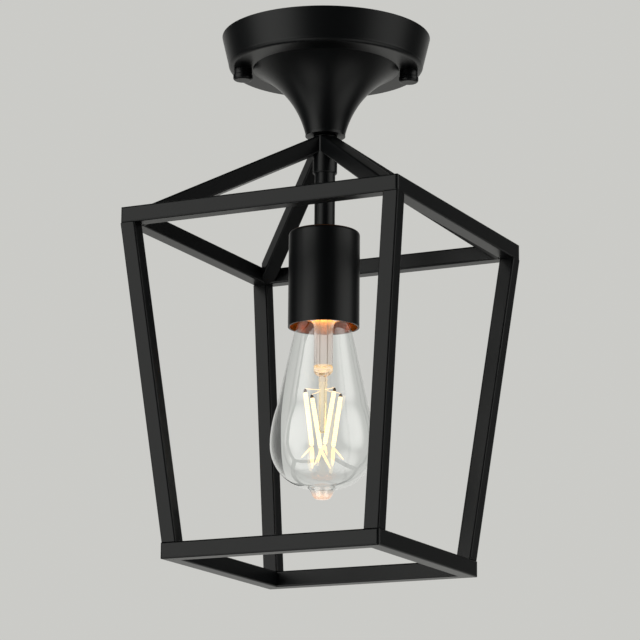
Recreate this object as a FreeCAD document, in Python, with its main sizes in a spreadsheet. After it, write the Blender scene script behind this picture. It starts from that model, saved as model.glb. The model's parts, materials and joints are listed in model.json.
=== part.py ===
"""Ceiling lantern: a tapered open cage of square steel tube under a round canopy, with one screw-in lamp.

The origin is the centre of the ceiling strap's fixing circle, on the ceiling. +Z is up, so the lantern hangs
down along -Z. The cage's sides face +X, -X, +Y and -Y. The canopy and its strap are turned about Z.
"""
import FreeCAD, Part
import math
import os

import Sketcher
from FreeCAD import Placement, Rotation, Vector

SIZES = {
    # canopy: pressed cup against the ceiling, and the flared cone under it
    "canopy_turn": 27.0,
    "canopy_ledge": 15.1,
    "canopy_draft": 4.2,
    "canopy_depth": 20.5,
    "canopy_wall": 1.2,
    "canopy_round": 2.8,
    "trumpet_top_r": 45.5,
    "trumpet_neck_r": 12.4,
    "trumpet_drop": 43.0,
    "trumpet_flare_r": 62.0,
    "trumpet_wall": 1.3,
    "trumpet_lip": 1.6,
    # ceiling strap and its fasteners
    "strap_past_stud": 8.0,
    "strap_width": 20.0,
    "strap_thickness": 2.0,
    "strap_corner_r": 4.0,
    "box_screw_circle": 69.85,
    "box_screw_hole_r": 2.4,
    "stud_r": 2.0,
    "stud_below_ceiling": 0.2,
    "stud_chamfer": 0.5,
    "stud_grip": 4.4,
    "lock_nut_flats": 7.0,
    "lock_nut_height": 3.2,
    "earth_screw_place": 18.0,
    "earth_screw_r": 2.0,
    "earth_head_r": 3.8,
    "earth_head_height": 1.8,
    "earth_washer_r": 4.4,
    "earth_washer_thickness": 0.8,
    # round nuts under the canopy
    "cap_nut_r": 6.1,
    "cap_nut_waist_r": 5.7,
    "cap_nut_height": 6.4,
    "cap_nut_lip": 3.2,
    "cap_nut_taper": 0.5,
    "cap_nut_bore": 5.0,
    "cap_washer_r": 5.6,
    "cap_washer_to_cone": 0.5,
    "cap_washer_thickness": 0.8,
    # threaded tubes, nuts and the clearances of the plain-cylinder threads
    "nipple_r": 5.0,
    "nipple_bore_r": 4.0,
    "thread_gap": 0.06,
    "fit_gap": 0.15,
    "nipple_above_nut": 1.2,
    "nipple_nut_flats": 14.0,
    "nipple_nut_height": 3.5,
    "nipple_washer_r": 9.5,
    "nipple_washer_thickness": 1.0,
    "nipple_in_stem": 9.0,
    # hub collar and stem
    "hub_r": 7.5,
    "hub_length": 24.2,
    "hub_socket_depth": 10.0,
    "hub_chamfer": 0.6,
    "stem_r": 6.35,
    "stem_length": 47.0,
    # cage
    "top_ring_below_neck": 57.5,
    "top_ring_side": 184.0,
    "cage_height": 212.0,
    "bottom_ring_side": 143.0,
    "bar_width": 10.0,
    "bar_height": 10.0,
    "bar_wall": 1.0,
    "bar_edge_r": 1.2,
    "ring_corner_r": 2.0,
    "leg_inset": 0.5,
    "roof_start_below_neck": 7.1,
    "weld_gap": 0.05,
    # lamp holder
    "cup_play": 2.7,
    "cup_length": 60.0,
    "cup_wall": 1.2,
    "cup_round": 2.4,
    "socket_nipple_in_stem": 12.0,
    "socket_nut_height": 3.0,
    "holder_wall": 3.4,
    "holder_length": 44.0,
    "cap_length": 13.0,
    "cap_roof": 5.0,
    "cap_wall": 3.5,
    "partition": 4.0,
    "holder_bore_play": 0.6,
    "shell_thread_play": 0.45,
    "shell_thread_depth": 0.95,
    "shell_wall": 0.5,
    "shell_lip": 4.5,
    "terminal_r": 1.3,
    "terminal_head_r": 2.8,
    "terminal_head_height": 1.8,
    "terminal_tail": 0.5,
    "terminal_tail_r": 1.82,
    "line_terminal_inset": 2.2,
    "shell_terminal_inset": 2.3,
    "contact_width": 5.0,
    "contact_thickness": 0.4,
    "contact_to_shell": 0.6,
    "contact_pivot_x": 3.0,
    "contact_tip_back": 3.2,
    "contact_drop": 1.9,
    "contact_split": 0.3,
    "contact_to_lamp": 0.3,
    # screw thread of lamp and holder: seven turns to the inch
    "thread_pitch": 3.6286,
    "ridge_foot": 1.9,
    "ridge_crest": 0.7,
    "lamp_ridge_turns": 4.6,
    "holder_ridge_turns": 5.0,
    # lamp base
    "lamp_crest_r": 13.05,
    "lamp_thread_depth": 0.85,
    "lamp_shell_wall": 0.35,
    "lamp_shell_length": 24.5,
    "lamp_collar_past_thread": 0.25,
    "lamp_collar_height": 1.6,
    "lamp_collar_slope": 0.4,
    "lamp_tip_r": 4.6,
    "lamp_tip_flat_r": 2.76,
    "lamp_tip_height": 1.3,
    "lamp_insulator_height": 2.2,
    # lamp glass
    "glass_wall": 0.8,
    "glass_neck_play": 0.55,
    "glass_neck_inside": 14.0,
    "glass_throat_r": 16.9,
    "glass_throat_drop": 8.0,
    "glass_r": 32.0,
    "glass_widest_drop": 80.5,
    "glass_shoulder": 22.0,
    "glass_shoulder_step": 4.3,
    "nub_r": 8.6,
    "nub_tip_r": 3.6,
    "nub_drop": 4.0,
    "stem_flare_drop": 8.0,
    "stem_glass_r": 5.8,
    "stem_glass_wall": 0.9,
    "stem_glass_drop": 33.0,
    "press_height": 5.0,
    "press_step": 2.0,
    "press_r": 3.48,
    "centre_rod_r": 1.9,
    "centre_rod_length": 37.0,
    "support_root_r": 2.6,
    # light-giving sticks and wires
    "stick_r": 1.15,
    "stick_drop": 32.5,
    "stick_top_drop": 50.2,
    "stick_spread": 12.4,
    "stick_gather": 6.6,
    "stick_turn": 58.0,
    "stick_twist": 20.5,
    "wire_r": 0.3,
    "foot_r": 0.5,
    "long_foot_drop": 12.5,
    "long_foot_spread": 7.8,
    "long_foot_turn": 50.0,
    "short_foot_drop": 7.5,
    "short_foot_spread": 13.0,
    "lead_wire_x": 2.6,
    # insulated leads inside stem and canopy
    "lead_r": 1.0,
    "lead_ring_r": 2.1,
    "lead_level": 9.2,
    "lead_bend_r": 4.0,
    "lead_terminal_bend_r": 2.4,
    "lead_rise": 2.5,
    "lead_climb": 1.4,
    "connector_r": 4.2,
    "connector_tip_r": 2.6,
    "connector_length": 17.0,
    "connector_turn": 60.0,
    "connector_start": 27.0,
    "connector_bore": 9.0,
    "lead_in_connector": 7.2,
}

QUARTER_TURN = 90.0  # degrees between the cage's four sides
HALF_TURN = 180.0  # degrees between the two leads' ways out
HEAD_FLAT = 0.8  # share of a screw head's radius that is flat
CONTACT_BEND = 0.4  # share of the contact's flat tip that lies behind the axis
HEAD_CROWN = 0.3  # share of a screw head's height that slopes at its rim
DRILL_POINT = 0.5  # depth of a drilled hole's point over the hole's radius
RIDGE_SUNK = 0.2  # share of a thread ridge's height that is sunk in its wall
SAME_PLACE = 1e-6  # mm; nearer than this, two heights are one

doc = FreeCAD.newDocument("ceiling_lantern")
sheet = doc.addObject("Spreadsheet::Sheet", "sizes")
for row, (name, number) in enumerate(SIZES.items(), start=1):
    sheet.set("A%d" % row, name.replace("_", " "))
    sheet.set("B%d" % row, str(number))
    sheet.setAlias("B%d" % row, name)
doc.recompute()


class Size:
    """A measure made from the sheet: its number now, and the expression that keeps a feature bound."""

    def __init__(self, number, text):
        self.number, self.text = number, text

    def joined(self, sign, other, number):
        text = other.text if isinstance(other, Size) else repr(float(other))
        return Size(number, "(%s %s %s)" % (self.text, sign, text))

    def __add__(self, other):
        return self.joined("+", other, self.number + plain(other))

    def __sub__(self, other):
        return self.joined("-", other, self.number - plain(other))

    def __mul__(self, other):
        return self.joined("*", other, self.number * plain(other))

    def __truediv__(self, other):
        return self.joined("/", other, self.number / plain(other))

    def __neg__(self):
        return Size(-self.number, "(0 - %s)" % self.text)

    def __radd__(self, other):
        return self + other

    def __rmul__(self, other):
        return self * other

    def __rsub__(self, other):
        return -self + other


def plain(measure):
    """The number of a measure, whether it is bound or not."""
    return measure.number if isinstance(measure, Size) else float(measure)


def root(measure):
    """The square root of a bound measure."""
    return Size(math.sqrt(measure.number), "sqrt(%s)" % measure.text)


def cell(name):
    return Size(float(sheet.get(name)), "sizes." + name)


class Sizes:
    """Every cell of the sheet, read by its name."""

    def __getattr__(self, name):
        return cell(name)


size = Sizes()
finished = []


def bind(feature, path, measure):
    """Sets a property of a feature from a measure."""
    if isinstance(measure, Size):
        feature.setExpression(path, measure.text)
    else:
        setattr(feature, path, measure)


def keep(shape_object):
    """Lists an object as a finished piece of the lantern."""
    finished.append(shape_object)
    return shape_object


def new_body(name, turn=None):
    """An empty body for one piece, turned about Z by an angle of the sheet."""
    body = doc.addObject("PartDesign::Body", name)
    body.Label = name
    if turn is not None:
        body.Placement = Placement(Vector(0, 0, 0), Rotation(Vector(0, 0, 1), plain(turn)))
        if isinstance(turn, Size):
            body.setExpression("Placement.Rotation.Angle", turn.text)
    return keep(body)


def new_sketch(body, plane="XZ_Plane", height=None):
    """A sketch on one of the body's own origin planes, lifted off it by a height."""
    sketch = body.newObject("Sketcher::SketchObject", body.Name + "_sketch")
    support = [part for part in body.Origin.OriginFeatures if part.Role == plane][0]
    sketch.AttachmentSupport = [(support, "")]
    sketch.MapMode = "FlatFace"
    if height is not None:
        sketch.AttachmentOffset = Placement(Vector(0, 0, plain(height)), Rotation())
        if isinstance(height, Size):
            sketch.setExpression("AttachmentOffset.Base.z", height.text)
    return sketch


class Bend:
    """A round edge between two corners of an outline: positive turns anticlockwise along it."""

    def __init__(self, radius):
        self.radius = radius


def arc_edge(start, end, radius):
    """The shorter arc from start to end; a positive radius turns anticlockwise."""
    chord = end - start
    half = chord.Length / 2
    reach = math.sqrt(max(radius * radius - half * half, 0.0))
    side = Vector(-chord.y, chord.x, 0).normalize() * (reach if radius > 0 else -reach)
    centre = start + chord * 0.5 + side
    first = math.atan2(start.y - centre.y, start.x - centre.x)
    last = math.atan2(end.y - centre.y, end.x - centre.x)
    circle = Part.Circle(centre, Vector(0, 0, 1), abs(radius))
    return Part.ArcOfCircle(circle, first, last) if radius > 0 else Part.ArcOfCircle(circle, last, first)


def pin_corner(sketch, edge, end, corner):
    """Holds a corner of an outline at its own two measures."""
    for kind, axis, measure in (("DistanceX", -2, corner[0]), ("DistanceY", -1, corner[1])):
        if not isinstance(measure, Size) and measure == 0:
            sketch.addConstraint(Sketcher.Constraint("PointOnObject", edge, end, axis))
            continue
        held = sketch.addConstraint(Sketcher.Constraint(kind, edge, end, plain(measure)))
        if isinstance(measure, Size):
            sketch.setExpression("Constraints[%d]" % held, measure.text)


def outline(sketch, steps):
    """Draws a closed outline through corners, straight except where a Bend stands between two of them."""
    corners = [step for step in steps if not isinstance(step, Bend)]
    bends, place = {}, -1
    for step in steps:
        if isinstance(step, Bend):
            bends[place] = step.radius
        else:
            place += 1
    points = [Vector(plain(corner[0]), plain(corner[1]), 0) for corner in corners]
    edges, ends = [], []
    for index, start in enumerate(points):
        end = points[(index + 1) % len(points)]
        if index in bends:
            edges.append(sketch.addGeometry(arc_edge(start, end, plain(bends[index])), False))
            ends.append((1, 2) if plain(bends[index]) > 0 else (2, 1))
        else:
            edges.append(sketch.addGeometry(Part.LineSegment(start, end), False))
            ends.append((1, 2))
    for index, corner in enumerate(corners):
        before = index - 1
        sketch.addConstraint(
            Sketcher.Constraint("Coincident", edges[before], ends[before][1], edges[index], ends[index][0])
        )
        pin_corner(sketch, edges[index], ends[index][0], corner)
    for index, radius in bends.items():
        held = sketch.addConstraint(Sketcher.Constraint("Radius", edges[index], abs(plain(radius))))
        if isinstance(radius, Size):
            grown = radius if radius.number > 0 else -radius
            sketch.setExpression("Constraints[%d]" % held, grown.text)


def ring(sketch, centre_x, centre_y, radius):
    """Draws a circle."""
    circle = Part.Circle(Vector(plain(centre_x), plain(centre_y), 0), Vector(0, 0, 1), plain(radius))
    edge = sketch.addGeometry(circle, False)
    pin_corner(sketch, edge, 3, (centre_x, centre_y))
    held = sketch.addConstraint(Sketcher.Constraint("Radius", edge, plain(radius)))
    if isinstance(radius, Size):
        sketch.setExpression("Constraints[%d]" % held, radius.text)


def rounded_square(sketch, centre_x, centre_y, half_x, half_y, corner_r):
    """Draws a rectangle with round corners, anticlockwise."""
    left, right = centre_x - half_x, centre_x + half_x
    low, high = centre_y - half_y, centre_y + half_y
    turn = Bend(corner_r)
    outline(sketch, [
        (left + corner_r, low), (right - corner_r, low), turn,
        (right, low + corner_r), (right, high - corner_r), turn,
        (right - corner_r, high), (left + corner_r, high), turn,
        (left, high - corner_r), (left, low + corner_r), turn,
    ])


def revolve(body, steps):
    """Turns an outline of radii and heights about Z."""
    sketch = new_sketch(body)
    outline(sketch, steps)
    turned = body.newObject("PartDesign::Revolution", body.Name + "_turned")
    turned.Profile = sketch
    turned.ReferenceAxis = (sketch, ["V_Axis"])
    turned.Angle = 360.0
    return turned


def turned_piece(name, steps, turn=None):
    """A piece of revolution about Z."""
    body = new_body(name, turn)
    revolve(body, steps)
    return body


def tube_steps(inner_r, outer_r, low, high):
    return [(inner_r, low), (outer_r, low), (outer_r, high), (inner_r, high)]


def pad(body, sketch, length, both_ways=False):
    """Raises a sketch into a solid."""
    raised = body.newObject("PartDesign::Pad", body.Name + "_pad")
    raised.Profile = sketch
    raised.SideType = "Symmetric" if both_ways else "One side"
    bind(raised, "Length", length)
    return raised


def cut(body, sketch, length=None):
    """Cuts a sketch out of the body, both ways from its plane: right through, or over a length."""
    pocket = body.newObject("PartDesign::Pocket", body.Name + "_cut")
    pocket.Profile = sketch
    pocket.SideType = "Symmetric"
    if length is None:
        pocket.Type = "ThroughAll"
    else:
        bind(pocket, "Length", length)
    return pocket


def move(body, x=0, y=0, z=0, angle=None):
    """Places a piece, keeping each part of its place bound to the sheet."""
    turn = Rotation(Vector(0, 0, 1), plain(angle) if angle is not None else 0.0)
    body.Placement = Placement(Vector(plain(x), plain(y), plain(z)), turn)
    for path, measure in (("Base.x", x), ("Base.y", y), ("Base.z", z), ("Rotation.Angle", angle)):
        if isinstance(measure, Size):
            body.setExpression("Placement." + path, measure.text)
    return body


# ---- places along the axis, from the ceiling down ------------------------------------------------

canopy_floor_z = -size.canopy_depth
canopy_floor_r = size.trumpet_top_r + size.canopy_ledge
canopy_rim_r = canopy_floor_r + size.canopy_draft
neck_z = canopy_floor_z - size.trumpet_drop
top_ring_z = neck_z - size.top_ring_below_neck
bottom_ring_z = top_ring_z - size.cage_height
hub_bottom_z = neck_z - size.hub_length
stem_top_z = hub_bottom_z + size.hub_socket_depth
stem_bottom_z = stem_top_z - size.stem_length
cup_top_z = stem_bottom_z
cup_bottom_z = cup_top_z - size.cup_length
socket_nut_z = cup_top_z - size.cup_wall
holder_top_z = socket_nut_z - size.socket_nut_height
partition_top_z = holder_top_z - size.cap_length
partition_bottom_z = partition_top_z - size.partition
holder_bottom_z = holder_top_z - size.holder_length
contact_under_z = partition_bottom_z - size.contact_thickness
lamp_tip_z = contact_under_z - size.contact_drop - size.contact_to_lamp
insulator_top_z = lamp_tip_z - size.lamp_tip_height / 2
lamp_shell_top_z = insulator_top_z - size.lamp_insulator_height
insulator_foot_z = lamp_shell_top_z - size.lamp_insulator_height
lamp_base_z = lamp_shell_top_z - size.lamp_shell_length
stud_x = size.trumpet_top_r + size.cap_washer_r + size.cap_washer_to_cone
canopy_cos = math.cos(math.radians(SIZES["canopy_turn"]))
canopy_sin = math.sin(math.radians(SIZES["canopy_turn"]))


# ---- places across the axis: the lamp's thread sets its base and everything round it --------------

lamp_core_r = size.lamp_crest_r - size.lamp_thread_depth
lamp_collar_r = size.lamp_crest_r + size.lamp_collar_past_thread
glass_neck_r = lamp_core_r - size.lamp_shell_wall - size.glass_neck_play
shell_root_r = size.lamp_crest_r + size.shell_thread_play
shell_crest_r = shell_root_r - size.shell_thread_depth
shell_lip_r = shell_root_r - size.shell_lip
holder_bore_r = shell_root_r + size.shell_wall + size.holder_bore_play
holder_r = holder_bore_r + size.holder_wall
cup_r = holder_r + size.cup_play + size.cup_wall
contact_foot_end = shell_lip_r - size.contact_to_shell
line_terminal_x = contact_foot_end - size.line_terminal_inset
shell_terminal_x = -(shell_root_r - size.shell_terminal_inset)


# ---- ceiling strap -------------------------------------------------------------------------------

def ceiling_strap():
    """Flat steel strap: two plain holes for the box screws, tapped holes for studs and earth screw."""
    body = new_body("ceiling_crossbar", size.canopy_turn)
    sketch = new_sketch(body, "XY_Plane", -size.strap_thickness)
    half_reach, half_width = stud_x + size.strap_past_stud, size.strap_width / 2
    rounded_square(sketch, 0, 0, half_reach, half_width, size.strap_corner_r)
    for side in (-1, 1):
        ring(sketch, side * size.box_screw_circle / 2, 0, size.box_screw_hole_r)
        ring(sketch, side * stud_x, 0, size.stud_r + size.thread_gap)
    ring(sketch, size.earth_screw_place, 0, size.earth_screw_r + size.thread_gap)
    pad(body, sketch, size.strap_thickness)


def compound_of(name, shapes, turn=0.0):
    """A node made of separate equal solids."""
    piece = doc.addObject("Part::Feature", name)
    piece.Label = name
    piece.Shape = Part.makeCompound(shapes)
    piece.Placement = Placement(Vector(0, 0, 0), Rotation(Vector(0, 0, 1), turn))
    return keep(piece)


def hexagon_nut(flats, height, bore_r, x, z):
    """A hexagon nut's solid with its top at z."""
    corner_r = flats / math.sqrt(3)
    corners = [
        Vector(x + corner_r * math.cos(math.radians(60 * k)), corner_r * math.sin(math.radians(60 * k)), z)
        for k in range(7)
    ]
    block = Part.Face(Part.makePolygon(corners)).extrude(Vector(0, 0, -height))
    return block.cut(Part.makeCylinder(bore_r, height, Vector(x, 0, z), Vector(0, 0, -1)))


def strap_fasteners():
    """Studs, their lock nuts, and the earth screw with its washer."""
    stud_end_z = canopy_floor_z - size.cap_washer_thickness - size.stud_grip
    studs, nuts = [], []
    for side in (-1, 1):
        foot = Vector(side * plain(stud_x), 0, plain(stud_end_z))
        stud = Part.makeCylinder(SIZES["stud_r"], -plain(stud_end_z) - SIZES["stud_below_ceiling"], foot)
        rim = [edge for edge in stud.Edges if abs(edge.BoundBox.ZMax - foot.z) < SAME_PLACE]
        studs.append(stud.makeChamfer(SIZES["stud_chamfer"], rim))
        nuts.append(hexagon_nut(SIZES["lock_nut_flats"], SIZES["lock_nut_height"],
                                SIZES["stud_r"] + SIZES["thread_gap"], foot.x, -SIZES["strap_thickness"]))
    compound_of("canopy_studs", studs, SIZES["canopy_turn"])
    compound_of("stud_lock_nuts", nuts, SIZES["canopy_turn"])
    top = -size.stud_below_ceiling
    washer_z = -size.strap_thickness - size.earth_washer_thickness
    head_z = washer_z - size.earth_head_height
    screw = turned_piece("earth_screw", [
        (0, top), (0, head_z), (size.earth_head_r * HEAD_FLAT, head_z),
        (size.earth_head_r, head_z + size.earth_head_height * HEAD_CROWN), (size.earth_head_r, washer_z),
        (size.earth_washer_r, washer_z), (size.earth_washer_r, -size.strap_thickness),
        (size.earth_screw_r, -size.strap_thickness), (size.earth_screw_r, top),
    ])
    move(screw, size.earth_screw_place * canopy_cos, size.earth_screw_place * canopy_sin)


# ---- canopy --------------------------------------------------------------------------------------

def canopy_cup():
    """Shallow drafted cup with a rounded lower edge, a centre hole and two stud holes in its floor."""
    wall, soft = size.canopy_wall, size.canopy_round
    body = new_body("canopy_cup", size.canopy_turn)
    floor_in = canopy_floor_z + wall
    revolve(body, [
        (size.nipple_r + size.fit_gap, canopy_floor_z), (canopy_floor_r - soft, canopy_floor_z),
        Bend(soft), (canopy_floor_r, canopy_floor_z + soft), (canopy_rim_r, 0),
        (canopy_rim_r - wall, 0), (canopy_floor_r - wall, canopy_floor_z + soft),
        Bend(-(soft - wall)), (canopy_floor_r - soft, floor_in), (size.nipple_r + size.fit_gap, floor_in),
    ])
    holes = new_sketch(body, "XY_Plane", canopy_floor_z)
    for side in (-1, 1):
        ring(holes, side * stud_x, 0, size.stud_r + size.fit_gap)
    cut(body, holes, size.canopy_depth)


def canopy_trumpet():
    """Spun cone whose wall sweeps in from the cup's floor to a small rolled lip at the neck."""
    wall, lip = size.trumpet_wall, size.trumpet_lip
    throat_z = neck_z + lip
    revolve(new_body("canopy_trumpet"), [
        (size.trumpet_top_r - wall, canopy_floor_z), Bend(size.trumpet_flare_r),
        (size.trumpet_neck_r - wall, throat_z), (size.nipple_r + size.fit_gap, throat_z),
        (size.nipple_r + size.fit_gap, neck_z), (size.trumpet_neck_r, neck_z),
        (size.trumpet_neck_r, throat_z),
        Bend(-size.trumpet_flare_r), (size.trumpet_top_r, canopy_floor_z),
    ])


def canopy_clamp():
    """Threaded tube through cup and cone, with the washer and nut that clamp them to the hub."""
    floor_in = canopy_floor_z + size.canopy_wall
    washer_top = floor_in + size.nipple_washer_thickness
    nut_top = washer_top + size.nipple_nut_height
    nipple_low, nipple_top = stem_top_z - size.nipple_in_stem, nut_top + size.nipple_above_nut
    turned_piece("canopy_nipple", tube_steps(size.nipple_bore_r, size.nipple_r, nipple_low, nipple_top))
    turned_piece("nipple_washer", tube_steps(size.nipple_r + size.fit_gap, size.nipple_washer_r,
                                             floor_in, washer_top))
    hexagon_piece("nipple_nut", nut_top)


def hexagon_piece(name, top_z, height=None):
    """Hexagon nut on the threaded tube, its top at top_z."""
    height = size.nipple_nut_height if height is None else height
    body = new_body(name)
    sketch = new_sketch(body, "XY_Plane", top_z - height)
    half_flats = size.nipple_nut_flats / 2
    corner_r = size.nipple_nut_flats / math.sqrt(3)
    outline(sketch, [
        (corner_r, 0), (corner_r / 2, half_flats), (-(corner_r / 2), half_flats),
        (-corner_r, 0), (-(corner_r / 2), -half_flats), (corner_r / 2, -half_flats),
    ])
    ring(sketch, 0, 0, size.nipple_r + size.thread_gap)
    pad(body, sketch, height)


def cap_nuts():
    """Round blind nuts with a slightly wider foot, and the washer above each."""
    for side, name in ((-1, "left"), (1, "right")):
        x, y = side * stud_x * canopy_cos, side * stud_x * canopy_sin
        washer_z = canopy_floor_z - size.cap_washer_thickness
        washer = turned_piece("cap_washer_" + name, tube_steps(
            size.stud_r + size.thread_gap, size.cap_washer_r, washer_z, canopy_floor_z))
        move(washer, x, y)
        foot_z = washer_z - size.cap_nut_height
        bore_z = washer_z - size.cap_nut_bore
        soft = size.cap_nut_lip / 2
        nut = turned_piece("cap_nut_" + name, [
            (0, foot_z), (size.cap_nut_r - soft, foot_z), Bend(soft), (size.cap_nut_r, foot_z + soft),
            (size.cap_nut_r, foot_z + size.cap_nut_lip),
            (size.cap_nut_waist_r, foot_z + size.cap_nut_lip + size.cap_nut_taper),
            (size.cap_nut_waist_r, washer_z), (size.stud_r + size.thread_gap, washer_z),
            (size.stud_r + size.thread_gap, bore_z), (0, bore_z - size.stud_r * DRILL_POINT),
        ])
        move(nut, x, y)


# ---- hub, stem and cage --------------------------------------------------------------------------

def hub_and_stem():
    """Collar under the cone, threaded inside above and bored for the stem below, and the stem tube."""
    edge = size.hub_chamfer
    thread_r, bore_r = size.nipple_r + size.thread_gap, size.stem_r + size.thread_gap
    turned_piece("hub_sleeve", [
        (bore_r, hub_bottom_z), (size.hub_r - edge, hub_bottom_z), (size.hub_r, hub_bottom_z + edge),
        (size.hub_r, neck_z - edge), (size.hub_r - edge, neck_z), (thread_r, neck_z),
        (thread_r, stem_top_z), (bore_r, stem_top_z),
    ])
    turned_piece("stem_tube", tube_steps(thread_r, size.stem_r, stem_bottom_z, stem_top_z))


def ring_rails(prefix, side, top_z):
    """Four mitred lengths of square tube that make one square ring, its top at top_z."""
    half, width, wall = side / 2, size.bar_width, size.bar_wall
    middle_z = top_z - size.bar_height / 2
    soft = size.ring_corner_r
    arc_start = soft * (1 - math.sqrt(0.5))
    gap = size.weld_gap / 2
    for quarter, name in enumerate(("front", "right", "back", "left")):
        body = new_body(prefix + "_rail_" + name, QUARTER_TURN * quarter)
        section = new_sketch(body, "YZ_Plane")
        centre_y = width / 2 - half
        rounded_square(section, centre_y, middle_z, width / 2, size.bar_height / 2, size.bar_edge_r)
        rounded_square(section, centre_y, middle_z, width / 2 - wall, size.bar_height / 2 - wall,
                       size.bar_edge_r / 4)
        pad(body, section, side, both_ways=True)
        ends = new_sketch(body, "XY_Plane")
        for hand in (-1, 1):
            steps = [
                (half - width * 2 - gap, width * 2 - half), (half - arc_start - gap, arc_start - half),
                Bend(-soft * hand), (half - soft - gap, -half), (half - soft - gap, -half - width),
                (half + width, -half - width), (half + width, width * 2 - half),
            ]
            steps = [step if isinstance(step, Bend) else (step[0] * hand, step[1]) for step in steps]
            outline(ends, steps)
        cut(body, ends)


def corner_leg(name, quarter):
    """Straight tapering corner leg: square tube that leans in from the top ring to the bottom ring."""
    body = new_body(name, QUARTER_TURN * quarter)
    high = top_ring_z - size.bar_height - size.weld_gap
    low = bottom_ring_z + size.bar_height + size.weld_gap
    half_width = size.bar_width / 2
    places = ((high, size.top_ring_side / 2), (low, size.bottom_ring_side / 2 - size.leg_inset))
    for kind, half, corner_r in (
        ("PartDesign::AdditiveLoft", half_width, size.bar_edge_r),
        ("PartDesign::SubtractiveLoft", half_width - size.bar_wall, size.bar_edge_r / 4),
    ):
        sections = []
        for height, edge in places:
            sketch = new_sketch(body, "XY_Plane", height)
            centre = edge - half_width
            rounded_square(sketch, centre, -centre, half, half, corner_r)
            sections.append(sketch)
        loft = body.newObject(kind, body.Name + "_loft")
        loft.Profile = sections[0]
        loft.Sections = sections[1:]
        loft.Ruled = True


def roof_bar(name, angle):
    """Hip bar from the hub collar out and down to the inner corner of the top ring."""
    body = new_body(name, angle)
    start_x = size.hub_r * 0.5
    end_x = (size.top_ring_side / 2 - size.bar_width) * math.sqrt(2)
    end_z = top_ring_z - size.bar_height / 2
    hub_z = neck_z - size.roof_start_below_neck
    slope = (end_z - hub_z) / (end_x - size.hub_r)
    stretch = root(slope * slope + 1)
    start_z = hub_z + slope * (start_x - size.hub_r)
    half_height = size.bar_height / 2 * stretch

    def side_view(half, grow):
        return [
            (start_x - grow, start_z - half - slope * grow), (end_x + grow, end_z - half + slope * grow),
            (end_x + grow, end_z + half + slope * grow), (start_x - grow, start_z + half - slope * grow),
        ]

    bar = new_sketch(body, "XZ_Plane")
    outline(bar, side_view(half_height, 0))
    raised = pad(body, bar, size.bar_width, both_ways=True)
    doc.recompute()
    along = Vector(1, 0, plain(slope)).normalize()
    long_edges = []
    for index, edge in enumerate(raised.Shape.Edges, start=1):
        run = (edge.Vertexes[-1].Point - edge.Vertexes[0].Point).normalize()
        if run.cross(along).Length < 1e-3:
            long_edges.append("Edge%d" % index)
    fillet = body.newObject("PartDesign::Fillet", body.Name + "_edges")
    fillet.Base = (raised, long_edges)
    bind(fillet, "Radius", size.bar_edge_r)
    bore = new_sketch(body, "XZ_Plane")
    outline(bore, side_view(half_height - size.bar_wall * stretch, 1))
    cut(body, bore, size.bar_width - size.bar_wall * 2)
    ends = new_sketch(body, "XY_Plane")
    ring(ends, 0, 0, size.hub_r + size.weld_gap)
    tip, notch = end_x - size.weld_gap, size.bar_width
    outline(ends, [
        (tip, 0), (tip - notch, -notch), (tip + notch, -notch), (tip + notch, notch), (tip - notch, notch),
    ])
    cut(body, ends)


# ---- lamp holder ---------------------------------------------------------------------------------

def socket_cup():
    """Cylindrical cover, open below, hung on the stem by the threaded tube and its nut."""
    wall, soft = size.cup_wall, size.cup_round
    hole_r = size.nipple_r + size.fit_gap
    turned_piece("socket_cup", [
        (hole_r, cup_top_z - wall), (cup_r - soft, cup_top_z - wall), Bend(-(soft - wall)),
        (cup_r - wall, cup_top_z - soft), (cup_r - wall, cup_bottom_z),
        (cup_r, cup_bottom_z),
        (cup_r, cup_top_z - soft), Bend(soft), (cup_r - soft, cup_top_z), (hole_r, cup_top_z),
    ])
    nipple_bottom = holder_top_z - size.cap_roof
    turned_piece("socket_nipple", tube_steps(size.nipple_bore_r, size.nipple_r, nipple_bottom,
                                             stem_bottom_z + size.socket_nipple_in_stem))
    hexagon_piece("socket_nut", socket_nut_z, size.socket_nut_height)


def lamp_holder():
    """Ceramic holder in two halves: a cap with the wiring chamber, and a body with partition and bore."""
    thread_r = size.nipple_r + size.thread_gap
    cap_in = holder_top_z - size.cap_roof
    edge = size.cap_wall / 4
    turned_piece("lampholder_cap", [
        (thread_r, cap_in), (holder_r - size.cap_wall, cap_in),
        (holder_r - size.cap_wall, partition_top_z),
        (holder_r, partition_top_z), (holder_r, holder_top_z - edge),
        (holder_r - edge, holder_top_z), (thread_r, holder_top_z),
    ])
    body = new_body("lampholder_body")
    revolve(body, [
        (0, partition_bottom_z), (holder_bore_r, partition_bottom_z),
        (holder_bore_r, holder_bottom_z),
        (holder_r - edge, holder_bottom_z), (holder_r, holder_bottom_z + edge),
        (holder_r, partition_top_z), (0, partition_top_z),
    ])
    holes = new_sketch(body, "XY_Plane", (partition_top_z + partition_bottom_z) / 2)
    for x in (line_terminal_x, shell_terminal_x):
        ring(holes, x, 0, size.terminal_r + size.thread_gap)
    cut(body, holes, size.partition * 2)


def terminals():
    """Terminal screws through the partition: one holds the contact's foot, one the shell's flange."""
    head_z = partition_top_z + size.terminal_head_height
    for name, x, plate in (
        ("line_terminal", line_terminal_x, size.contact_thickness),
        ("shell_terminal", shell_terminal_x, size.shell_wall),
    ):
        tail_z = partition_bottom_z - plate
        screw = turned_piece(name, [
            (0, tail_z - size.terminal_tail), (size.terminal_tail_r, tail_z - size.terminal_tail),
            (size.terminal_tail_r, tail_z), (size.terminal_r, tail_z),
            (size.terminal_r, partition_top_z), (size.terminal_head_r, partition_top_z),
            (size.terminal_head_r, head_z - size.terminal_head_height * HEAD_CROWN),
            (size.terminal_head_r * HEAD_FLAT, head_z), (0, head_z),
        ])
        move(screw, x)


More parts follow.
